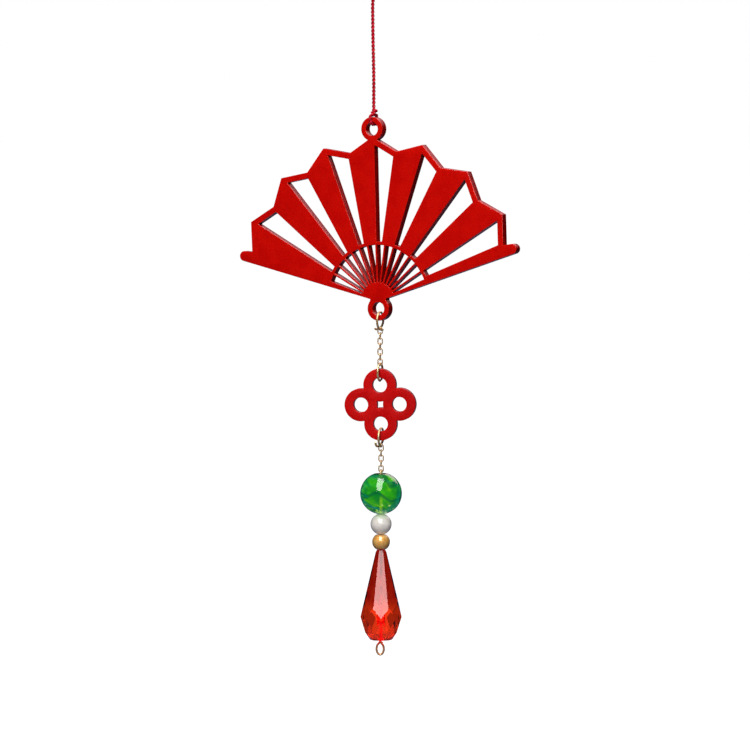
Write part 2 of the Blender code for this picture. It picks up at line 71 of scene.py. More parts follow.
# Cord: two plies twisted one way, each a bundle of yarns twisted the other way
PLY_R = 0.35 * MM
PLY_OFFSET = 0.25 * MM
PLY_PITCH = 2.5 * MM
YARNS = 5
YARN_PITCH = 1.6 * MM
YARN_RELIEF = 0.09
PLY_SIDES = 20
CORD_STEP = 0.11 * MM
CORD_R = 0.6 * MM
CORD_SHARP = radians(60)
TAIL_SIZE = 0.62
HOOK_LOOP_BEND = 2.9 * MM
HOOK_LOOP_HALF_WIDTH = 3.35 * MM
HOOK_KNOT_Z = -15.0 * MM
HOOK_KNOT_POINTS = 9
FRAY_COUNT = 13
FRAY_R = 0.03 * MM

# Wire
RING_WIRE_R = 0.375 * MM
LINK_WIRE_R = 0.2 * MM
PIN_R = 0.38 * MM
LINK_BEND = 0.74 * MM
SEAM_PLACE = 0.46
SEAM_SWELL = 0.16
SEAM_SPREAD = 1.6
TOP_EYE_R = 1.0 * MM
TOP_EYE_START = radians(-35)
TOP_EYE_END = radians(235)
FOOT_EYE_HALF_WIDTH = 1.21 * MM
FOOT_EYE_HALF_HEIGHT = 1.94 * MM
FOOT_EYE_ASIDE = -0.3 * MM
FOOT_EYE_START = radians(114)
FOOT_EYE_SWEEP = radians(314)
FOOT_EYE_STEPS = 16
STEM_POINTS = 40
WIRE_STEP = 0.1 * MM
WIRE_SIDES = 16
ROUND_SHARP = radians(50)

# Beads
GREEN_R = 7.0 * MM
PEARL_R = 3.53 * MM
GOLD_R = 2.98 * MM
LIP_STEPS = 6
BORE_R = 0.6 * MM
POCKET_R = 1.75 * MM
POCKET_DEPTH = 2.3 * MM
POCKET_CORNER = 0.5 * MM
CORE_GAP = 0.5 * MM
CORE_SHOULDER = 0.7 * MM
CORE_FLOOR = 0.8 * MM
CORE_BORE_WALL = 0.5 * MM
CORE_RELIEF = 0.35 * MM
DROP_BORE_R = 0.46 * MM
DROP_BORE_SIDES = 40
DROP_EASING = 0.05 * MM

# Camera and lights
AZIMUTH = radians(27.73)
ELEVATION = radians(3.46)
DISTANCE = 1.6656
LENS = 240.0
AIM_ASIDE = 0.41 * MM
AIM_Z = -141.87 * MM
FLOOR_Z = -0.40


# ---------------------------------------------------------------- reading the frame


def joint_to(body):
    """The pivot and the axis of the joint that carries a body. The axis never points left."""
    joint = next(j for j in frame["joints"] if j["child"] == body)
    axis = Vector(joint["axis"])
    if axis.x < 0:
        axis.negate()
    return Vector(joint["pos_m"]), axis


def box_centre(node):
    low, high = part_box(node)
    return (low + high) / 2


def merged_faces(node):
    """A node's faces over points merged by place, as (points, list of index triples)."""
    mesh = frame["nodes"][node].data
    index_of = {}
    points = []
    merged = []
    for vert in mesh.vertices:
        key = tuple(round(c / MM, 4) for c in vert.co)
        if key not in index_of:
            index_of[key] = len(points)
            points.append(vert.co.copy())
        merged.append(index_of[key])
    return points, [[merged[i] for i in face.vertices] for face in mesh.polygons]


def board_face(node):
    """The ordered edge loops of a board's flat front, in its own plane, with the plane's axes.

    Material lies on the left of every loop.
    """
    points, faces = merged_faces(node)
    normals = []
    for face in faces:
        a, b, c = (points[i] for i in face)
        normals.append((b - a).cross(c - a))
    front = max((n for n in normals if n.y < 0), key=lambda n: n.length)
    out = front.normalized()
    across = UP.cross(out).normalized()
    follow = {}
    directed = set()
    chosen = [f for f, n in zip(faces, normals) if n.length > 0 and n.normalized().dot(out) > 0.9999]
    for face in chosen:
        for i in range(3):
            directed.add((face[i - 1], face[i]))
    for start, end in directed:
        if (end, start) not in directed:
            follow[start] = end
    loops = []
    while follow:
        start, at = follow.popitem()
        loop = [start]
        while at != start:
            loop.append(at)
            at = follow.pop(at)
        loops.append([Vector((points[i].dot(across), points[i].dot(UP))) for i in loop])
    face_depth = points[chosen[0][0]].dot(out)
    all_depths = [p.dot(out) for p in points]
    return loops, across, out, face_depth, max(all_depths) - min(all_depths)


# ---------------------------------------------------------------- mesh helpers


def new_piece(name, mesh_data, material, body, replaced):
    """Turn a bmesh into an object that rides on a body and stands for the replaced CAD nodes."""
    mesh = bpy.data.meshes.new(name)
    mesh_data.to_mesh(mesh)
    mesh_data.free()
    mesh.materials.append(material)
    piece = bpy.data.objects.new(name, mesh)
    bpy.context.scene.collection.objects.link(piece)
    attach(piece, body)
    if replaced:
        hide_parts(*replaced)
    return piece


def smooth(piece, sharp):
    piece.data.shade_smooth()
    piece.data.set_sharp_from_angle(angle=sharp)


def arc(centre, radius, start, end, steps):
    """Points on an arc in a plane. Angles run from the first axis towards the second."""
    points = []
    for i in range(steps + 1):
        angle = start + (end - start) * i / steps
        points.append(Vector((centre[0] + radius * cos(angle), centre[1] + radius * sin(angle))))
    return points


def spline(points, closed=False):
    """A Catmull-Rom curve through the points, finely sampled."""
    count = len(points)
    spans = count if closed else count - 1
    fine = []
    for i in range(spans):
        before = points[i - 1] if closed or i > 0 else 2 * points[0] - points[1]
        here = points[i]
        ahead = points[(i + 1) % count]
        last = 2 * points[-1] - points[-2]
        beyond = points[(i + 2) % count] if closed or i + 2 < count else last
        for k in range(24):
            t = k / 24
            fine.append(0.5 * (
                2 * here
                + (ahead - before) * t
                + (2 * before - 5 * here + 4 * ahead - beyond) * t**2
                + (3 * here - before - 3 * ahead + beyond) * t**3
            ))
    if not closed:
        fine.append(points[-1].copy())
    return fine


def even_path(points, step, closed=False):
    """The same curve as points at equal steps along it."""
    source = points + [points[0]] if closed else points
    reach = [0.0]
    for a, b in zip(source, source[1:]):
        reach.append(reach[-1] + (b - a).length)
    count = max(2, ceil(reach[-1] / step))
    even = []
    k = 0
    for i in range(count if closed else count + 1):
        target = reach[-1] * i / count
        while k < len(reach) - 2 and reach[k + 1] < target:
            k += 1
        span = reach[k + 1] - reach[k]
        share = (target - reach[k]) / span if span > 0 else 0.0
        even.append(source[k].lerp(source[k + 1], min(share, 1.0)))
    return even


def carried_frames(path, start_across, closed=False):
    """For each point of a path its tangent and two across directions, carried along without twist."""
    count = len(path)
    across = start_across.normalized()
    last_tangent = None
    frames = []
    for i in range(count):
        ahead = path[(i + 1) % count] if closed or i < count - 1 else path[i]
        behind = path[i - 1] if closed or i > 0 else path[i]
        tangent = (ahead - behind).normalized()
        if last_tangent is not None:
            across = last_tangent.rotation_difference(tangent) @ across
        across = (across - tangent * across.dot(tangent)).normalized()
        last_tangent = tangent
        frames.append((tangent, across, tangent.cross(across)))
    return frames


def add_sweep(solid, path, frames, section, closed=False):
    """Sweep a section along a path. section(i) gives the points of ring i as (across, over) pairs."""
    uv = solid.loops.layers.uv.verify()
    rings = []
    for i, (point, (_, across, over)) in enumerate(zip(path, frames)):
        rings.append([solid.verts.new(point + across * a + over * b) for a, b in section(i)])
    bands = list(zip(rings, rings[1:]))
    if closed:
        bands.append((rings[-1], rings[0]))
    else:
        solid.faces.new(rings[0][::-1])
        solid.faces.new(rings[-1])
    reach = 0.0
    for i, (first, second) in enumerate(bands):
        step = (path[(i + 1) % len(path)] - path[i]).length
        sides = len(first)
        for k in range(sides):
            n = (k + 1) % sides
            face = solid.faces.new((first[k], first[n], second[n], second[k]))
            corners = ((k, 0), (k + 1, 0), (k + 1, 1), (k, 1))
            for loop, (turn, end) in zip(face.loops, corners):
                loop[uv].uv = (turn / sides, (reach + end * step) / MM)
        reach += step


def round_section(radius, sides, shape=lambda i: 1.0):
    spokes = [(cos(tau * k / sides), sin(tau * k / sides)) for k in range(sides)]
    return lambda i: [(radius * shape(i) * a, radius * shape(i) * b) for a, b in spokes]


def add_turned(solid, profile, segments, centre):
    """Turn a closed (radius, height) profile about the vertical through a centre."""
    rings = []
    for radius, height in profile:
        ring = []
        for k in range(segments):
            angle = tau * k / segments
            ring.append(solid.verts.new(centre + Vector((radius * cos(angle), radius * sin(angle), height))))
        rings.append(ring)
    for a, ring in enumerate(rings):
        for k in range(segments):
            solid.faces.new((rings[a - 1][k - 1], rings[a - 1][k], ring[k], ring[k - 1]))
    bmesh.ops.recalc_face_normals(solid, faces=solid.faces)


# ---------------------------------------------------------------- node helpers


class Tree:
    """Short calls for building a node tree."""

    def __init__(self, tree):
        self.tree = tree
        tree.nodes.clear()

    def set(self, socket, value):
        if isinstance(value, bpy.types.NodeSocket):
            self.tree.links.new(value, socket)
        elif isinstance(value, tuple) and len(value) == 3 and socket.type == "RGBA":
            socket.default_value = (*value, 1.0)
        else:
            socket.default_value = value

    def add(self, kind, settings=None, **inputs):
        """Add a node. An input's name is written with _ for a space."""
        made = self.tree.nodes.new(kind)
        for name, value in (settings or {}).items():
            setattr(made, name, value)
        for name, value in inputs.items():
            self.set(made.inputs[name.replace("_", " ")], value)
        return made

    def math(self, operation, first, second=0.0):
        made = self.add("ShaderNodeMath", {"operation": operation})
        for socket, value in zip(made.inputs, (first, second)):
            self.set(socket, value)
        return made.outputs[0]

    def mix(self, share, first, second):
        made = self.add("ShaderNodeMix", {"data_type": "RGBA"})
        for index, value in ((0, share), (6, first), (7, second)):
            self.set(made.inputs[index], value)
        return made.outputs[2]

    def range(self, value, from_low, from_high, to_low=0.0, to_high=1.0):
        return self.add(
            "ShaderNodeMapRange", {"interpolation_type": "SMOOTHSTEP"}, Value=value,
            From_Min=from_low, From_Max=from_high, To_Min=to_low, To_Max=to_high,
        ).outputs[0]

    def ramp(self, value, stops):
        made = self.add("ShaderNodeValToRGB", Fac=value)
        marks = made.color_ramp.elements
        while len(marks) < len(stops):
            marks.new(0.5)
        for mark, (position, colour) in zip(marks, stops):
            mark.position = position
            mark.color = (*colour, 1.0)
        return made.outputs[0]

    def millimetres(self, scale=(1.0, 1.0, 1.0), source="Object"):
        """Object coordinates in millimetres, or the sweep's coordinates, times a scale."""
        place = self.add("ShaderNodeTexCoord").outputs[source]
        unit = 1.0 if source == "UV" else 1.0 / MM
        mapping = self.add("ShaderNodeMapping", Vector=place)
        mapping.inputs["Scale"].default_value = tuple(s * unit for s in scale)
        return mapping.outputs[0]

    def noise(self, place, scale, detail, distortion=0.0):
        return self.add(
            "ShaderNodeTexNoise", Vector=place, Scale=scale, Detail=detail, Distortion=distortion
        ).outputs[0]

    def bump(self, height, distance, normal=None):
        made = self.add("ShaderNodeBump", Height=height, Distance=distance, Strength=1.0)
        if normal is not None:
            self.set(made.inputs["Normal"], normal)
        return made.outputs[0]

    def edge_mask(self, radius):
        """1 at an arris, falling to 0 a radius away from it."""
        rounded = self.add("ShaderNodeBevel", {"samples": 4}, Radius=radius).outputs[0]
        plain = self.add("ShaderNodeNewGeometry").outputs["Normal"]
        dot = self.add("ShaderNodeVectorMath", {"operation": "DOT_PRODUCT"})
        self.set(dot.inputs[0], rounded)
        self.set(dot.inputs[1], plain)
        return self.range(dot.outputs["Value"], 1.0, 0.9)

    def surface(self, shader, kind="ShaderNodeOutputMaterial"):
        self.tree.links.new(shader, self.add(kind).inputs["Surface"])


def new_material(name):
    material = bpy.data.materials.new(name)
    material.use_nodes = True
    return material, Tree(material.node_tree)


# ---------------------------------------------------------------- materials


def lacquer_material(name, grit, deep, bright):
    """Sprayed red lacquer on a thin cut board, darker on its walls: partly the cut walls' own colour, partly
    painted shade. grit is how much the face sparkles.
    """
    material, t = new_material(name)
    place = t.millimetres()
    cloud = t.noise(place, 0.22, 4.0)
    fibre = t.noise(t.millimetres((0.35, 3.0, 2.6)), 1.0, 5.0)
    fine = t.noise(place, 5.5, 2.0)
    edge = t.edge_mask(0.5 * MM)
    base = t.mix(t.range(cloud, 0.3, 0.7), deep, bright)
    base = t.mix(t.math("MULTIPLY", t.range(fine, 0.45, 0.7), grit), base, (0.40, 0.008, 0.012))
    base = t.mix(t.math("MULTIPLY", edge, 0.8), base, (0.60, 0.0080, 0.0006))
    depth = t.add("ShaderNodeAttribute", {"attribute_name": "depth"}).outputs["Fac"]
    lines = t.add("ShaderNodeCombineXYZ", X=t.math("MULTIPLY", depth, 4.0), Y=t.math("MULTIPLY", fibre, 1.2))
    streak = t.noise(lines.outputs[0], 1.2, 3.0)
    wall = t.math("MULTIPLY", t.range(depth, 0.15, 0.5), t.range(depth, 2.9, 2.6))
    # The walls' dark, streaked colour is partly their own cut colour and partly painted shade.
    sides = t.mix(t.range(streak, 0.40, 0.62), (0.040, 0.0004, 0.0008), (0.40, 0.0030, 0.0020))
    base = t.mix(t.math("MULTIPLY", wall, 0.85), base, sides)
    peel = t.bump(t.noise(place, 1.3, 3.0), 0.008 * MM)
    grain = t.bump(t.math("ADD", fibre, fine), 0.003 * MM + 0.003 * MM * grit, normal=peel)
    sawn = t.bump(streak, 0.05 * MM, normal=grain)
    shader = t.add(
        "ShaderNodeBsdfPrincipled",
        Base_Color=base,
        Roughness=t.range(fine, 0.3, 0.7, 0.22 + 0.14 * grit, 0.32 + 0.2 * grit),
        Specular_IOR_Level=t.range(wall, 0.0, 1.0, 0.34 - 0.5 * grit, 0.14),
        Normal=sawn,
        Coat_Weight=t.range(wall, 0.0, 1.0, 0.3 - 0.6 * grit, 0.06),
        Coat_Roughness=0.12,
        Coat_Normal=peel,
    )
    t.surface(shader.outputs[0])
    return material


def cord_material():
    """Crimson twisted yarn with painted shade between its fibres and a painted pale highlight where loose
    fibres catch the light.
    """
    material, t = new_material("crimson_yarn")
    along = t.millimetres((16.0, 1.6, 1.0), "UV")
    fibres = t.noise(along, 1.0, 3.0, 0.4)
    patch = t.noise(t.millimetres(), 0.9, 2.0)
    # Painted shade in the dark stops and a painted pale pink highlight in the light stop.
    base = t.ramp(fibres, [
        (0.28, (0.16, 0.0, 0.006)),
        (0.48, (0.58, 0.002, 0.018)),
        (0.72, (0.98, 0.060, 0.085)),
    ])
    base = t.mix(t.range(patch, 0.35, 0.7, 0.0, 0.35), base, (0.30, 0.0, 0.010))
    shader = t.add(
        "ShaderNodeBsdfPrincipled",
        Base_Color=base,
        Roughness=t.range(fibres, 0.2, 0.8, 0.72, 0.5),
        Specular_IOR_Level=0.22,
        Specular_Tint=(1.0, 0.45, 0.45),
        Normal=t.bump(fibres, 0.06 * MM),
    )
    t.surface(shader.outputs[0])
    return material


def gilt_wire_material():
    """Drawn wire with pale gold plating, a little dull in patches and scored along its length."""
    material, t = new_material("gilt_wire")
    patch = t.noise(t.millimetres(), 1.4, 4.0)
    drawn = t.noise(t.millimetres((9.0, 0.35, 1.0), "UV"), 1.0, 3.0)
    base = t.ramp(patch, [(0.3, (0.62, 0.32, 0.11)), (0.5, (0.92, 0.62, 0.30)), (0.68, (1.0, 0.88, 0.62))])
    shader = t.add(
        "ShaderNodeBsdfPrincipled",
        Base_Color=base,
        Metallic=0.62,
        Roughness=t.range(patch, 0.3, 0.7, 0.34, 0.26),
        Normal=t.bump(drawn, 0.012 * MM),
    )
    t.surface(shader.outputs[0])
    return material


def clear_to_shadows(t, shader, tint):
    """Let lamps shine through a glass shader without waiting for caustics."""
    path = t.add("ShaderNodeLightPath")
    open_ = t.add("ShaderNodeBsdfTransparent", Color=tint)
    mixed = t.add("ShaderNodeMixShader", Fac=path.outputs["Is Shadow Ray"])
    t.tree.links.new(shader, mixed.inputs[1])
    t.tree.links.new(open_.outputs[0], mixed.inputs[2])
    return mixed.outputs[0]


def clear_glass_material():
    """The bead's clear outer glass, with a breath of green in soft patches."""
    material, t = new_material("bead_clear_glass")
    patch = t.noise(t.millimetres(), 0.35, 2.0, 0.6)
    tint = t.mix(t.range(patch, 0.3, 0.7), (0.90, 1.0, 0.92), (0.80, 0.98, 0.84))
    shader = t.add(
        "ShaderNodeBsdfPrincipled",
        Base_Color=tint,
        Roughness=0.02,
        IOR=1.5,
        Transmission_Weight=1.0,
        Coat_Weight=0.5,
        Coat_Roughness=0.1,
    )
    t.surface(clear_to_shadows(t, shader.outputs[0], (0.85, 1.0, 0.86)))
    return material


def marbled_green(t, place):
    """Lime veils and dark teal wisps stirred into mid green."""
    warp = t.add("ShaderNodeTexNoise", Vector=place, Scale=0.12, Detail=1.5).outputs["Color"]
    moved = t.add("ShaderNodeVectorMath", {"operation": "MULTIPLY_ADD"})
    t.set(moved.inputs[0], warp)
    moved.inputs[1].default_value = (6.0, 6.0, 11.0)
    t.set(moved.inputs[2], place)
    veil = t.noise(moved.outputs[0], 0.15, 3.5, 0.9)
    wisp = t.add(
        "ShaderNodeTexWave",
        {"wave_type": "BANDS", "bands_direction": "Z"},
        Vector=moved.outputs[0], Scale=0.06, Distortion=3.0, Detail=2.0, Detail_Scale=0.5,
    ).outputs["Fac"]
    green = t.ramp(veil, [
        (0.30, (0.001, 0.150, 0.045)),
        (0.42, (0.008, 0.240, 0.022)),
        (0.54, (0.030, 0.360, 0.012)),
        (0.66, (0.110, 0.500, 0.008)),
    ])
    return t.mix(t.range(wisp, 0.74, 0.98, 0.0, 0.65), green, (0.001, 0.105, 0.045))


def with_painted_rim_shade(t, green, height, low):
    """Painted shade: teal towards the silhouette, most of all low down, with a dark line at the very edge.
    """
    facing = t.add("ShaderNodeLayerWeight", Blend=0.5).outputs["Facing"]
    share = t.range(height, low + 11.0, low + 3.0, 0.35, 1.0)
    rim = t.math("MULTIPLY", t.range(facing, 0.13, 0.28, 0.0, 0.9), share)
    green = t.mix(rim, green, (0.0, 0.30, 0.19))
    return t.mix(t.range(facing, 0.27, 0.31, 0.0, 0.7), green, (0.0, 0.07, 0.035))


def with_foot_sparks(t, green, place, height, low):
    """Lime and pale yellow glints where light gathers at the foot."""
    spark = t.noise(place, 0.75, 1.5)
    foot = t.range(height, low + 4.4, low + 2.6)
    green = t.mix(t.math("MULTIPLY", foot, t.range(spark, 0.53, 0.66)), green, (0.42, 0.86, 0.010))
    return t.mix(t.math("MULTIPLY", foot, t.range(spark, 0.64, 0.70)), green, (1.0, 1.0, 0.70))


def with_bore_streak(t, green, place, height, low, centre_x):
    """A lime streak in the lower middle, where the bore lies as the camera sees it."""
    across = t.add("ShaderNodeVectorMath", {"operation": "DOT_PRODUCT"})
    t.set(across.inputs[0], place)
    across.inputs[1].default_value = (cos(AZIMUTH), sin(AZIMUTH), 0.0)
    offset = t.math("SUBTRACT", across.outputs["Value"], centre_x * cos(AZIMUTH) / MM)
    near = t.range(t.math("ABSOLUTE", offset), 0.75, 0.05)
    streak = t.math("MULTIPLY", near, t.range(height, low + 7.0, low + 5.0))
    return t.mix(t.math("MULTIPLY", streak, 0.6), green, (0.30, 0.66, 0.020))


def marbled_core_material(centre, radius):
    """Marbled green glass with a painted glow: emission stands in for the light behind it shining through.
    """
    material, t = new_material("bead_marbled_core")
    place = t.millimetres()
    height = t.add("ShaderNodeSeparateXYZ", Vector=place).outputs[2]
    low = (centre.z - radius) / MM
    # Painted rim shade on the marbled green.
    green = with_painted_rim_shade(t, marbled_green(t, place), height, low)
    green = with_foot_sparks(t, green, place, height, low)
    green = with_bore_streak(t, green, place, height, low, centre.x)
    # Painted glow: the core emits light though it is no lamp.
    glow = t.add("ShaderNodeEmission", Color=green, Strength=0.95)
    body = t.add("ShaderNodeBsdfDiffuse", Color=green)
    mixed = t.add("ShaderNodeMixShader", Fac=0.62)
    t.tree.links.new(body.outputs[0], mixed.inputs[1])
    t.tree.links.new(glow.outputs[0], mixed.inputs[2])
    t.surface(mixed.outputs[0])
    return material


def pearl_material():
    """Warm white pearl lacquer with painted shade towards its edge, cooler and greyer there, and a faint
    painted glow.
    """
    material, t = new_material("pearl_lustre")
    place = t.millimetres()
    cloud = t.noise(place, 0.8, 3.0)
    facing = t.add("ShaderNodeLayerWeight", Blend=0.35).outputs["Facing"]
    base = t.mix(t.range(cloud, 0.35, 0.65), (0.84, 0.78, 0.73), (0.92, 0.87, 0.84))
    # Painted shade: cooler and greyer towards the edge.
    base = t.mix(t.range(facing, 0.3, 0.95, 0.0, 0.6), base, (0.58, 0.62, 0.74))
    shader = t.add(
        "ShaderNodeBsdfPrincipled",
        Base_Color=base,
        Roughness=0.25,
        Coat_Weight=1.0,
        Coat_Roughness=0.06,
        Coat_IOR=1.9,
        # Painted glow: a faint emission brightens the pearl.
        Emission_Color=base,
        Emission_Strength=0.12,
        Thin_Film_Thickness=380.0,
        Thin_Film_IOR=1.4,
        Normal=t.bump(t.noise(place, 3.5, 2.0), 0.006 * MM),
    )
    t.surface(shader.outputs[0])
    return material


def satin_gold_material():
    """Orange gold lacquer with metal powder in it, with painted shade, deeper and browner, at grazing
    angles, under a clear coat.
    """
    material, t = new_material("satin_gold_plate")
    place = t.millimetres()
    cloud = t.noise(place, 0.7, 3.0)
    grit = t.noise(place, 9.0, 2.0)
    facing = t.add("ShaderNodeLayerWeight", Blend=0.4).outputs["Facing"]
    base = t.mix(t.range(cloud, 0.3, 0.7), (1.0, 0.44, 0.085), (1.0, 0.62, 0.190))
    # Painted shade: deeper brown towards the edge.
    base = t.mix(t.range(facing, 0.35, 0.95, 0.0, 0.8), base, (0.46, 0.17, 0.030))
    shader = t.add(
        "ShaderNodeBsdfPrincipled",
        Base_Color=base,
        Metallic=0.2,
        Roughness=t.range(grit, 0.3, 0.7, 0.34, 0.46),
        Coat_Weight=1.0,
        Coat_Roughness=0.08,
        Coat_IOR=1.8,
        Normal=t.bump(grit, 0.02 * MM),
    )
    t.surface(shader.outputs[0])
    return material


def red_glass_material(centre):
    """Cut red glass with faint flow lines, painted light that makes it brighter below its middle, and a
    ground, pinkish bore wall.
    """
    material, t = new_material("cut_red_glass")
    flow = t.noise(t.millimetres((0.8, 0.8, 0.12)), 1.0, 3.0)
    height = t.add("ShaderNodeSeparateXYZ", Vector=t.millimetres()).outputs[2]
    tint = t.mix(t.range(flow, 0.3, 0.7), (0.44, 0.005, 0.003), (0.62, 0.022, 0.006))
    # Painted light: the glass is tinted brighter and more orange below its middle.
    tint = t.mix(t.range(height, centre.z / MM - 2.0, centre.z / MM - 5.0), tint, (0.98, 0.045, 0.008))
    glass = t.add(
        "ShaderNodeBsdfPrincipled",
        Base_Color=tint,
        Roughness=t.range(flow, 0.4, 0.7, 0.0, 0.03),
        IOR=1.52,
        Specular_IOR_Level=0.30,
        Transmission_Weight=1.0,
        Normal=t.bump(flow, 0.01 * MM),
    )
    from_axis = t.add("ShaderNodeVectorMath", {"operation": "MULTIPLY_ADD"})
    t.set(from_axis.inputs[0], t.millimetres())
    from_axis.inputs[1].default_value = (1.0, 1.0, 0.0)
    from_axis.inputs[2].default_value = (-centre.x / MM, -centre.y / MM, 0.0)
    distance = t.add("ShaderNodeVectorMath", {"operation": "LENGTH"})
    t.set(distance.inputs[0], from_axis.outputs[0])
    bore = t.range(distance.outputs["Value"], 0.56, 0.50)
    scored = t.noise(t.millimetres((1.2, 1.2, 0.7)), 1.0, 3.0, 0.8)
    ground = t.mix(t.range(scored, 0.4, 0.6), (0.55, 0.012, 0.03), (0.95, 0.20, 0.26))
    wall = t.add("ShaderNodeBsdfDiffuse", Color=ground)
    both = t.add("ShaderNodeMixShader", Fac=bore)
    t.tree.links.new(glass.outputs[0], both.inputs[1])
    t.tree.links.new(wall.outputs[0], both.inputs[2])
    t.surface(clear_to_shadows(t, both.outputs[0], (0.9, 0.1, 0.05)))
    return material


# ---------------------------------------------------------------- boards


def turn_at(before, here, ahead):
    """The signed turn of an outline at a point."""
    first = here - before
    second = ahead - here
    return atan2(first.x * second.y - first.y * second.x, first.dot(second))


def end_heading(loop, i, forward):
    """The heading of the curve at point i, taken from a straight neighbour or as the mean of two chords."""
    into = loop[i] - loop[i - 1]
    out = loop[(i + 1) % len(loop)] - loop[i]
    if abs(turn_at(loop[i - 1], loop[i], loop[(i + 1) % len(loop)])) > CORNER_TURN:
        return None
    if forward and into.length > CHORD_LIMIT:
        return into.normalized()
    if not forward and out.length > CHORD_LIMIT:
        return out.normalized()
    return (into.normalized() + out.normalized()).normalized()


def mirrored(heading, chord):
    along = chord.normalized()
    return 2 * along * heading.dot(along) - heading


def rounded(loop):
    """Split the short chords of an outline's arcs so that they follow the arc. Corners stay sharp."""
    fine = []
    count = len(loop)
    for i in range(count):
        here = loop[i]
        ahead = loop[(i + 1) % count]
        chord = ahead - here
        fine.append(here)
        if chord.length > CHORD_LIMIT:
            continue
        leaving = end_heading(loop, i, True)
        arriving = end_heading(loop, (i + 1) % count, False)
        if leaving is None and arriving is None:
            continue
        if leaving is None:
            leaving = mirrored(arriving, chord)
        if arriving is None:
            arriving = mirrored(leaving, chord)
        handle = chord.length / 3
        first = here + leaving * handle
        second = ahead - arriving * handle
        for k in range(1, CHORD_PARTS):
            s = k / CHORD_PARTS
            r = 1 - s
            fine.append(r**3 * here + 3 * r**2 * s * first + 3 * r * s**2 * second + s**3 * ahead)
    return fine


def inset_loop(loop, inset):
    """Move an outline into the material on its left, with mitred corners."""
    moved = []
    count = len(loop)
    for i, here in enumerate(loop):
        first = (here - loop[i - 1]).normalized()
        second = (loop[(i + 1) % count] - here).normalized()
        left = Vector((-first.y - second.y, first.x + second.x))
        moved.append(here + left * (inset / (1 + first.dot(second))))
    return moved


def board_section(thickness):
    """(inset, depth) down a board's edge: a rounded arris, the wall with its glue lines, a rounded arris."""
    front = []
    for k in range(ARRIS_STEPS + 1):
        angle = (pi / 2) * k / ARRIS_STEPS
        front.append((ARRIS * (1 - sin(angle)), ARRIS * (1 - cos(angle))))
    section = list(front)
    for line in (thickness / 3, 2 * thickness / 3):
        section.append((0.0, line - PLY_GROOVE_HALF))
        section.append((PLY_GROOVE, line))
        section.append((0.0, line + PLY_GROOVE_HALF))
    section += [(inset, thickness - depth) for inset, depth in reversed(front)]
    return section


def add_board(name, node, material):
    """A cut board with rounded arrises, glue lines in its walls and flat faces."""
    loops, across, out, face_depth, thickness = board_face(node)
    loops = [rounded(loop) for loop in loops]
    section = board_section(thickness)
    solid = bmesh.new()
    depth_layer = solid.verts.layers.float.new("depth")
    caps = {0: [], len(section) - 1: []}
    for loop in loops:
        rings = []
        for inset, depth in section:
            ring = []
            for p in inset_loop(loop, inset):
                vert = solid.verts.new(across * p.x + UP * p.y + out * (face_depth - depth))
                vert[depth_layer] = depth / MM
                ring.append(vert)
            rings.append(ring)
        for first, second in zip(rings, rings[1:]):
            for i in range(len(first)):
                solid.faces.new((first[i - 1], second[i - 1], second[i], first[i]))
        for level in caps:
            ring = rings[level]
            caps[level] += [solid.edges.get((ring[i - 1], ring[i])) for i in range(len(ring))]
    flat_faces = []
    for edges in caps.values():
        filled = bmesh.ops.triangle_fill(solid, edges=edges, use_beauty=True)
        flat_faces += [item for item in filled["geom"] if isinstance(item, bmesh.types.BMFace)]
    bmesh.ops.recalc_face_normals(solid, faces=solid.faces)
    for face in solid.faces:
        face.smooth = True
    for face in flat_faces:
        face.smooth = False
    piece = new_piece(name, solid, material, node, (node,))
    piece.data.set_sharp_from_angle(angle=BOARD_SHARP)


# ---------------------------------------------------------------- cord


def add_cord(solid, points, size=1.0):
    """Two plies wound round a smooth path, which is returned. size thins the whole cord."""
    path = even_path(spline(points), CORD_STEP)
    frames = carried_frames(path, BACK if abs((path[1] - path[0]).normalized().y) < 0.9 else RIGHT)
    for ply in range(2):
        def wound(i):
            turn = tau * i * CORD_STEP / PLY_PITCH + ply * pi
            yarn_turn = -tau * i * CORD_STEP / YARN_PITCH / YARNS
            ring = []
            for k in range(PLY_SIDES):
                angle = tau * k / PLY_SIDES
                yarn = abs(cos(YARNS * (angle + yarn_turn) / 2))
                radius = size * PLY_R * (1 - YARN_RELIEF + YARN_RELIEF * yarn * 2)
                ring.append((
                    size * PLY_OFFSET * cos(turn) + radius * cos(angle),
                    size * PLY_OFFSET * sin(turn) + radius * sin(angle),
                ))
            return ring

        add_sweep(solid, path, frames, wound)
    return path


def add_fray(solid, tip, heading, seed):
    """Cut yarn ends that splay out past a cord's tip."""
    draw = Random(seed)
    side = heading.orthogonal().normalized()
    for k in range(FRAY_COUNT):
        turn = Quaternion(heading, tau * k / FRAY_COUNT + draw.uniform(-0.3, 0.3))
        out = turn @ side
        root = tip - heading * 0.3 * MM + out * draw.uniform(0.1, 0.4) * MM
        reach = draw.uniform(0.45, 0.8) * MM
        middle = root + heading * reach * 0.6 + out * draw.uniform(0.0, 0.08) * MM
        end = root + heading * reach + out * draw.uniform(0.05, 0.3) * MM
        path = even_path(spline([root, middle, end]), 0.08 * MM)
        add_sweep(solid, path, carried_frames(path, out.cross(heading)), round_section(FRAY_R, 6))


def in_mm(rows, origin):
    return [origin + Vector(row) * MM for row in rows]


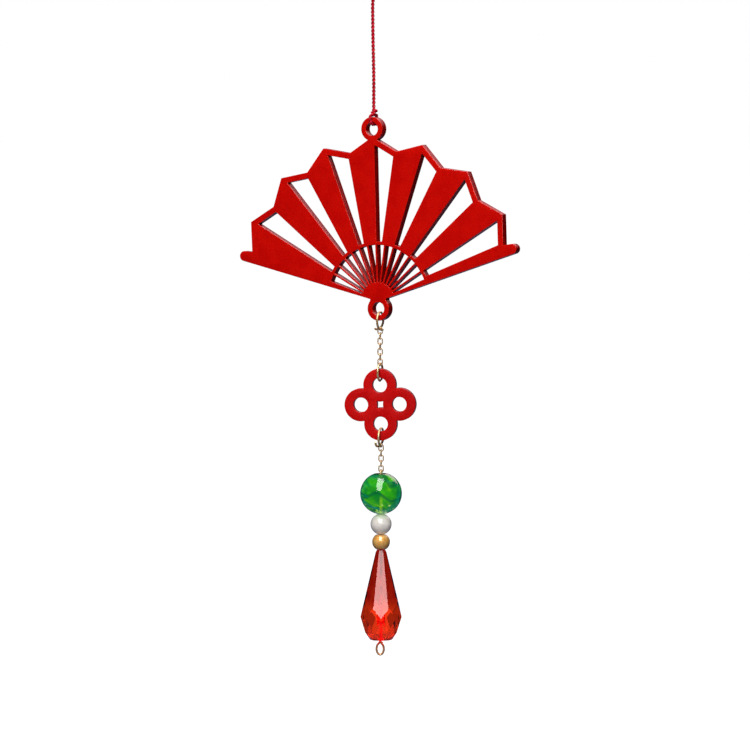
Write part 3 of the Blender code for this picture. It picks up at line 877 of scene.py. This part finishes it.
def add_hanging_cord(material):
    """One cord: up the strand, round the hook loop, twice round itself as a knot, and out to a cut tail."""
    low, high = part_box("hanging_cord")
    crown = high.z - CORD_R
    bend = HOOK_LOOP_BEND
    loop_x = HOOK_LOOP_HALF_WIDTH
    points = [Vector((0.05 * MM, 0, low.z - 0.9 * MM)), Vector((0, 0, low.z + 1.5 * MM))]
    points += [Vector((0.0, 0, -42 * MM)), Vector((-0.28 * MM, 0, -30 * MM))]
    points += in_mm([(-0.40, 0, -20), (-0.3, 0, -17.6), (0.1, -0.1, -15.2), (0.5, 0, -13.2)], Vector())
    points.append(Vector((loop_x * 0.85, 0, crown - 2.6 * bend)))
    over = arc((loop_x - bend, crown - bend), bend, 0.0, pi / 2, 5)
    over += arc((bend - loop_x, crown - bend), bend, pi / 2, pi, 5)
    points += [Vector((p.x, 0, p.y)) for p in over]
    points.append(Vector((-loop_x * 0.85, 0, crown - 2.6 * bend)))
    knot = Vector((0, 0, HOOK_KNOT_Z))
    points += in_mm([(-0.6, 0.1, 1.9)], knot)
    for k in range(HOOK_KNOT_POINTS):
        share = k / (HOOK_KNOT_POINTS - 1)
        angle = pi + tau * 2.0 * share
        points.append(knot + Vector((cos(angle), sin(angle), 1.1 - 2.1 * share)) * MM)
    points += in_mm([(-0.2, -1.1, -0.6), (1.0, -0.9, 0.2), (1.6, -0.8, 0.9)], knot)
    solid = bmesh.new()
    path = add_cord(solid, points)
    add_fray(solid, path[-1], (path[-1] - path[-4]).normalized(), 3)
    piece = new_piece("cord_strand", solid, material, "hanging_cord", ("hanging_cord",))
    smooth(piece, CORD_SHARP)


def add_fan_tie(material):
    """The tie: down the back of the fan's eye, through it, up the front and slantwise over the strand."""
    eye, _ = joint_to("fan_plate")
    down_the_back = [
        (0.0, 0.0, 6.10), (0.0, 0.05, 5.20), (0.02, 0.25, 4.68), (0.04, 1.10, 4.56), (0.05, 1.80, 4.50),
        (0.05, 2.16, 3.95), (0.03, 2.18, 3.00), (0.0, 2.08, 2.25), (0.0, 1.60, 1.62), (0.0, 0.70, 1.55),
    ]
    up_the_front = [
        (0.0, -0.70, 1.55), (0.0, -1.60, 1.62), (-0.05, -2.10, 2.25), (-0.10, -2.18, 3.10),
        (-0.14, -2.14, 3.95), (-0.10, -1.78, 4.50), (0.0, -1.08, 4.60), (0.20, -0.78, 4.98),
        (0.55, -0.74, 5.60), (0.80, -0.40, 6.00), (0.74, 0.30, 6.10),
    ]
    tail = [
        (-0.75, -0.15, 5.40), (-0.70, 0.40, 5.55), (0.0, 0.85, 5.75),
        (0.80, 0.60, 5.95), (1.12, -0.05, 6.08), (1.08, -0.50, 6.08),
    ]
    solid = bmesh.new()
    add_cord(solid, in_mm(down_the_back + up_the_front, eye))
    path = add_cord(solid, in_mm(tail, eye), TAIL_SIZE)
    add_fray(solid, path[-1], (path[-1] - path[-4]).normalized(), 5)
    piece = new_piece("fan_tie", solid, material, "fan_loop", ("fan_loop",))
    smooth(piece, CORD_SHARP)


# ---------------------------------------------------------------- wire


def add_wire(name, node, points, radius, material, closed=False, shape=None):
    """A round wire through points, its free ends slightly pinched by the cutters."""
    path = even_path(points, WIRE_STEP, closed)
    frames = carried_frames(path, (path[1] - path[0]).orthogonal(), closed)
    count = len(path)

    def pinched(i):
        from_end = min(i, count - 1 - i)
        return 1.0 if from_end > 2 else 0.72 + 0.12 * from_end

    section = round_section(radius, WIRE_SIDES, shape(count) if shape else pinched)
    solid = bmesh.new()
    add_sweep(solid, path, frames, section, closed)
    piece = new_piece(name, solid, material, node, (node,))
    smooth(piece, ROUND_SHARP)


def add_jump_ring(name, node, front_end, back_end, material):
    """A bent wire ring. Each end is a list of (aside, across, up) points in shares of the ring's radius."""
    centre = box_centre(node)
    _, normal = joint_to(node)
    across = UP.cross(normal)
    low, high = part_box(node)
    radius = (high.z - low.z) / 2 - RING_WIRE_R * cos(pi / 8)
    rows = [(0.0, p.x, p.y) for p in arc((0.0, 0.0), 1.0, 0.0, pi, 12)]
    rows = list(reversed(back_end)) + rows + front_end
    points = [centre + (normal * a + across * b + UP * c) * radius for a, b, c in rows]
    add_wire(name, node, spline(points), RING_WIRE_R, material)


def add_jump_rings(material):
    """The three rings, each with its own ends. The first and the last have an end that stands aside."""
    front_end = [
        (0.0, -0.90, -0.40), (0.0, -0.48, -0.84), (0.0, 0.0, -1.0), (0.0, 0.45, -1.06), (0.02, 0.85, -1.09)
    ]
    back_end = [(-0.03, 0.95, -0.35), (-0.15, 0.62, -0.78), (-0.44, 0.15, -0.98), (-0.54, -0.28, -0.92)]
    add_jump_ring("fan_ring_wire", "fan_ring", front_end, back_end, material)

    front_end = [(0.0, -0.95, -0.31), (0.0, -0.71, -0.71), (0.0, -0.31, -0.95), (0.0, 0.08, -1.0)]
    back_end = [(0.0, 0.95, -0.31), (0.0, 0.71, -0.71), (0.0, 0.36, -0.93)]
    add_jump_ring("charm_top_ring_wire", "charm_top_ring", front_end, back_end, material)

    front_end = [(0.0, -0.95, -0.31), (0.0, -0.71, -0.71), (0.0, -0.31, -0.95), (0.0, 0.14, -1.0)]
    back_end = [
        (-0.05, 0.93, -0.35), (-0.2, 0.62, -0.80), (-0.40, 0.15, -1.0), (-0.47, -0.35, -0.86),
        (-0.44, -0.65, -0.52),
    ]
    add_jump_ring("charm_bottom_ring_wire", "charm_bottom_ring", front_end, back_end, material)


def add_link(index, prefix, material):
    """A closed oval chain link with the swelling of its soldered joint in one side."""
    node = f"{prefix}_{index}"
    pivot, normal = joint_to(node)
    across = UP.cross(normal)
    low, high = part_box(node)
    top = high.z - LINK_WIRE_R
    foot = low.z + LINK_WIRE_R
    outline = arc((0.0, top - LINK_BEND), LINK_BEND, 0.0, pi, 10)
    outline += arc((0.0, foot + LINK_BEND), LINK_BEND, pi, tau, 10)
    points = [Vector((pivot.x, pivot.y, 0.0)) + across * p.x + UP * p.y for p in outline]

    def soldered(count):
        seam = int(SEAM_PLACE * count)
        return lambda i: 1.0 + SEAM_SWELL * exp(-((i - seam) / SEAM_SPREAD) ** 2)

    add_wire(f"{node}_wire", node, spline(points, closed=True), LINK_WIRE_R, material, True, soldered)


def add_eye_pin(material):
    """One wire: the top eye, the stem through the beads, and the open foot eye."""
    pivot, normal = joint_to("eye_pin")
    across = UP.cross(normal)
    low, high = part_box("eye_pin")
    axis = Vector((pivot.x, pivot.y, 0.0))
    top_z = high.z - PIN_R - TOP_EYE_R
    foot_z = low.z + PIN_R + FOOT_EYE_HALF_HEIGHT
    drop_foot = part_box("red_drop")[0].z
    points = []
    for p in arc((0.0, top_z), TOP_EYE_R, TOP_EYE_START, TOP_EYE_END, 14):
        points.append(axis + across * p.x + UP * p.y)
    points.append(axis - across * 0.1 * MM + UP * (top_z - 1.15 * TOP_EYE_R))
    stem_top = top_z - 1.6 * TOP_EYE_R
    for i in range(STEM_POINTS + 1):
        points.append(axis + UP * (stem_top + (drop_foot - stem_top) * i / STEM_POINTS))
    points.append(axis - normal * 0.33 * MM + UP * (drop_foot - 0.7 * MM))
    for i in range(FOOT_EYE_STEPS + 1):
        angle = FOOT_EYE_START + FOOT_EYE_SWEEP * i / FOOT_EYE_STEPS
        aside = normal * (FOOT_EYE_ASIDE + FOOT_EYE_HALF_WIDTH * cos(angle))
        points.append(axis + aside + UP * (foot_z + FOOT_EYE_HALF_HEIGHT * sin(angle)))
    points.append(axis + normal * 0.42 * MM + UP * (drop_foot - 0.75 * MM))
    add_wire("eye_pin_wire", "eye_pin", spline(points), PIN_R, material)


# ---------------------------------------------------------------- beads


def lip(radius, bore, lip_r, up):
    """A bead's rounded mouth: from its bore wall to where it runs into the sphere. up is 1 or -1."""
    height = sqrt((radius - lip_r) ** 2 - (bore + lip_r) ** 2)
    meeting = atan2(height, bore + lip_r)
    points = arc((bore + lip_r, height), lip_r, pi, meeting, LIP_STEPS)
    return [Vector((p.x, up * p.y)) for p in points], meeting


def bead_outline(radius, top_bore, top_lip, foot_bore, foot_lip, steps):
    """The outer half of a bead's section, from its top mouth round to its foot mouth."""
    top, start = lip(radius, top_bore, top_lip, 1)
    foot, end = lip(radius, foot_bore, foot_lip, -1)
    return top + arc((0.0, 0.0), radius, start, -end, steps)[1:-1] + list(reversed(foot))


def pairs(points):
    return [(p.x, p.y) for p in points]


def add_round_bead(name, node, radius, lip_r, material, wobble):
    """A drilled bead with softly rounded mouths and a skin that is very slightly uneven."""
    solid = bmesh.new()
    centre = box_centre(node)
    add_turned(solid, pairs(bead_outline(radius, BORE_R, lip_r, BORE_R, lip_r, 40)), 72, centre)
    for vert in solid.verts:
        out = vert.co - centre
        if out.length > 0.8 * radius:
            vert.co += out.normalized() * wobble * noise.noise(out / MM * 0.7)
    smooth(new_piece(name, solid, material, node, (node,)), ROUND_SHARP)


def add_green_bead(glass, core):
    """A clear outer glass with a wide pocket for the pin's eye, over a marbled core."""
    centre = box_centre("green_bead")
    low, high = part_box("green_bead")
    radius = (high.x - low.x) / 2
    floor = sqrt(radius**2 - POCKET_R**2) - POCKET_DEPTH
    outline = bead_outline(radius, POCKET_R, 0.3 * MM, BORE_R, 0.4 * MM, 56)
    corner = (POCKET_R - POCKET_CORNER, floor + POCKET_CORNER)
    pocket = arc(corner, POCKET_CORNER, -pi / 2, 0.0, 5)
    shell = bmesh.new()
    add_turned(shell, pairs(outline) + [(BORE_R, floor)] + pairs(pocket), 96, centre)
    piece = new_piece("green_bead_glass", shell, glass, "green_bead", ("green_bead",))
    smooth(piece, ROUND_SHARP)

    inner_r = radius - CORE_GAP
    shoulder = POCKET_R + CORE_SHOULDER
    core_bore = BORE_R + CORE_BORE_WALL
    start = acos(shoulder / inner_r)
    end = -acos(core_bore / inner_r)
    profile = pairs(arc((0.0, 0.0), inner_r, start, end, 48))
    profile += [(core_bore, floor - CORE_FLOOR), (shoulder, floor - CORE_FLOOR)]
    marbled = bmesh.new()
    add_turned(marbled, profile, 96, centre)
    for vert in marbled.verts:
        out = vert.co - centre
        if out.length > 0.93 * inner_r:
            swirl = Quaternion(UP, 0.25 * out.z / MM) @ (out / MM)
            ridge = noise.noise(Vector((swirl.x * 0.25, swirl.y * 0.25, swirl.z * 0.6)))
            vert.co += out.normalized() * CORE_RELIEF * (ridge - 0.4)
    piece = new_piece("green_bead_core", marbled, core, "green_bead", ())
    smooth(piece, ROUND_SHARP)


# ---------------------------------------------------------------- faceted drop


def add_red_drop(material):
    """The drop's facets with finely eased edges and a round bore."""
    points, faces = merged_faces("red_drop")
    low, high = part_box("red_drop")
    centre = box_centre("red_drop")
    solid = bmesh.new()
    verts = [solid.verts.new(p) for p in points]
    for face in faces:
        solid.faces.new([verts[i] for i in face])
    bore_wall = [v for v in verts if (v.co - centre).to_2d().length < 1.2 * BORE_R]
    bmesh.ops.delete(solid, geom=bore_wall, context="VERTS")
    bmesh.ops.dissolve_limit(solid, angle_limit=radians(1.0), verts=solid.verts, edges=solid.edges)
    facet_edges = [e for e in solid.edges if len(e.link_faces) == 2]
    bmesh.ops.bevel(
        solid, geom=facet_edges, offset=DROP_EASING, segments=2, profile=0.5, affect="EDGES",
        clamp_overlap=True,
    )
    rims = {}
    for level in (high.z, low.z):
        middle = Vector((centre.x, centre.y))
        rim = arc(middle, DROP_BORE_R, 0.0, tau, DROP_BORE_SIDES)[:-1]
        rims[level] = [solid.verts.new((p.x, p.y, level)) for p in rim]
    for level, rim in rims.items():
        edges = [solid.edges.new((rim[i - 1], rim[i])) for i in range(len(rim))]
        edges += [e for e in solid.edges if e.is_boundary and abs(e.verts[0].co.z - level) < 0.2 * MM]
        bmesh.ops.triangle_fill(solid, edges=edges, use_beauty=True)
    top, foot = rims.values()
    for i in range(len(top)):
        solid.faces.new((top[i - 1], top[i], foot[i], foot[i - 1])).smooth = True
    bmesh.ops.recalc_face_normals(solid, faces=solid.faces)
    new_piece("red_drop_glass", solid, material, "red_drop", ("red_drop",))


# ---------------------------------------------------------------- room


def direction(azimuth, elevation):
    """The unit vector towards a place in the room. Azimuth 0 is in front of the fan and 90 on its right."""
    level = cos(elevation)
    return Vector((sin(azimuth) * level, -cos(azimuth) * level, sin(elevation)))


def add_softbox(name, azimuth, elevation, distance, width, height, strength, colour):
    """A rectangular lamp that faces the object. Its angles are in degrees and strength is its radiance."""
    lamp = bpy.data.lights.new(name, "AREA")
    lamp.shape = "RECTANGLE"
    lamp.size = width
    lamp.size_y = height
    lamp.color = colour
    lamp.energy = strength * width * height * pi
    holder = bpy.data.objects.new(name, lamp)
    out = direction(radians(azimuth), radians(elevation))
    holder.location = Vector((0.0, 0.0, AIM_Z)) + out * distance
    holder.rotation_mode = "QUATERNION"
    holder.rotation_quaternion = out.to_track_quat("Z", "Y")
    bpy.context.scene.collection.objects.link(holder)
    return holder


def add_lights():
    """A tall softbox above the front, a pink one above the back for the rims, and a soft fill."""
    add_softbox(
        "main_softbox", azimuth=15.8, elevation=58.0, distance=1.0, width=0.56, height=1.74,
        strength=7.0, colour=(1.0, 0.98, 0.96),
    )
    rim = add_softbox(
        "rim_softbox", azimuth=180.0, elevation=32.0, distance=1.2, width=1.05, height=0.62,
        strength=1.8, colour=(1.0, 0.72, 0.76),
    )
    rim.visible_transmission = False
    fill = add_softbox(
        "fill_softbox", azimuth=30.0, elevation=4.0, distance=1.2, width=1.0, height=1.0,
        strength=0.7, colour=(1.0, 0.99, 0.98),
    )
    fill.visible_glossy = False
    fill.visible_transmission = False


def add_world():
    """White to the camera, a dim room to reflections and a pale backdrop to the glass."""
    world = bpy.data.worlds.new("studio")
    bpy.context.scene.world = world
    world.use_nodes = True
    t = Tree(world.node_tree)
    path = t.add("ShaderNodeLightPath")
    place = t.add("ShaderNodeTexCoord").outputs["Generated"]
    away = -direction(AZIMUTH, ELEVATION + radians(6.0))
    dot = t.add("ShaderNodeVectorMath", {"operation": "DOT_PRODUCT"})
    t.set(dot.inputs[0], place)
    dot.inputs[1].default_value = away
    behind = t.range(dot.outputs["Value"], 0.86, 0.99)
    height = t.add("ShaderNodeSeparateXYZ", Vector=place).outputs[2]
    below = t.range(height, -0.1, -0.9)
    dim = t.mix(below, (0.005, 0.005, 0.007), (0.09, 0.10, 0.13))
    dim = t.mix(behind, dim, (0.24, 0.26, 0.44))
    above = t.range(height, 0.35, 0.9, 0.0, 0.6)
    lit = t.math("MAXIMUM", t.math("MAXIMUM", behind, above), t.math("MULTIPLY", below, 0.7))
    glass = t.mix(lit, (0.36, 0.36, 0.36), (1.0, 1.0, 1.0))
    seen = t.mix(path.outputs["Is Transmission Ray"], dim, glass)
    seen = t.mix(path.outputs["Is Camera Ray"], seen, (1.0, 1.0, 1.0))
    t.surface(t.add("ShaderNodeBackground", Color=seen, Strength=1.0).outputs[0], "ShaderNodeOutputWorld")


def add_floor():
    """A plain pale floor below the charm, lit evenly so that it runs into the backdrop."""
    material, t = new_material("pale_floor")
    cloud = t.noise(t.millimetres(), 0.004, 2.0)
    tone = t.mix(cloud, (0.97, 0.97, 0.97), (1.0, 1.0, 1.0))
    glow = t.add("ShaderNodeEmission", Color=tone, Strength=1.04)
    matt = t.add("ShaderNodeBsdfDiffuse", Color=tone)
    both = t.add("ShaderNodeAddShader")
    t.tree.links.new(glow.outputs[0], both.inputs[0])
    t.tree.links.new(matt.outputs[0], both.inputs[1])
    t.surface(both.outputs[0])
    solid = bmesh.new()
    bmesh.ops.create_grid(solid, x_segments=1, y_segments=1, size=20.0)
    mesh = bpy.data.meshes.new("floor")
    solid.to_mesh(mesh)
    solid.free()
    mesh.materials.append(material)
    floor = bpy.data.objects.new("floor", mesh)
    floor.location = (0.0, 0.0, FLOOR_Z)
    floor.visible_glossy = False
    floor.visible_diffuse = False
    floor.visible_transmission = False
    bpy.context.scene.collection.objects.link(floor)


def add_camera():
    camera = bpy.data.objects.new("camera", bpy.data.cameras.new("camera"))
    camera.data.lens = LENS
    camera.data.sensor_width = 36.0
    out = direction(AZIMUTH, ELEVATION)
    aside = Vector((cos(AZIMUTH), sin(AZIMUTH), 0.0)) * AIM_ASIDE
    camera.location = aside + UP * AIM_Z + out * DISTANCE
    camera.rotation_mode = "QUATERNION"
    camera.rotation_quaternion = out.to_track_quat("Z", "Y")
    bpy.context.scene.collection.objects.link(camera)
    bpy.context.scene.camera = camera


# ---------------------------------------------------------------- assembly


def build_object():
    cord = cord_material()
    wire = gilt_wire_material()
    add_hanging_cord(cord)
    add_fan_tie(cord)
    fan_lacquer = lacquer_material("fan_lacquer", 0.0, (0.54, 0.0012, 0.0001), (0.60, 0.0026, 0.0002))
    lobed_lacquer = lacquer_material("lobed_lacquer", 0.35, (0.52, 0.0002, 0.0004), (0.60, 0.0008, 0.0006))
    add_board("fan_board", "fan_plate", fan_lacquer)
    add_board("lobed_board", "lobed_plate", lobed_lacquer)

    add_jump_rings(wire)
    for prefix in ("upper_link", "lower_link"):
        count = sum(1 for node in frame["nodes"] if node.startswith(prefix))
        for index in range(1, count + 1):
            add_link(index, prefix, wire)
    add_eye_pin(wire)

    centre = box_centre("green_bead")
    add_green_bead(clear_glass_material(), marbled_core_material(centre, GREEN_R))
    pearl = pearl_material()
    gold = satin_gold_material()
    add_round_bead("pearl_bead_skin", "pearl_bead", PEARL_R, 0.5 * MM, pearl, 0.02 * MM)
    add_round_bead("gold_bead_skin", "gold_bead", GOLD_R, 0.8 * MM, gold, 0.015 * MM)
    add_red_drop(red_glass_material(box_centre("red_drop")))


build_object()
add_world()
add_floor()
add_lights()
add_camera()
bpy.context.scene.view_settings.view_transform = "Standard"
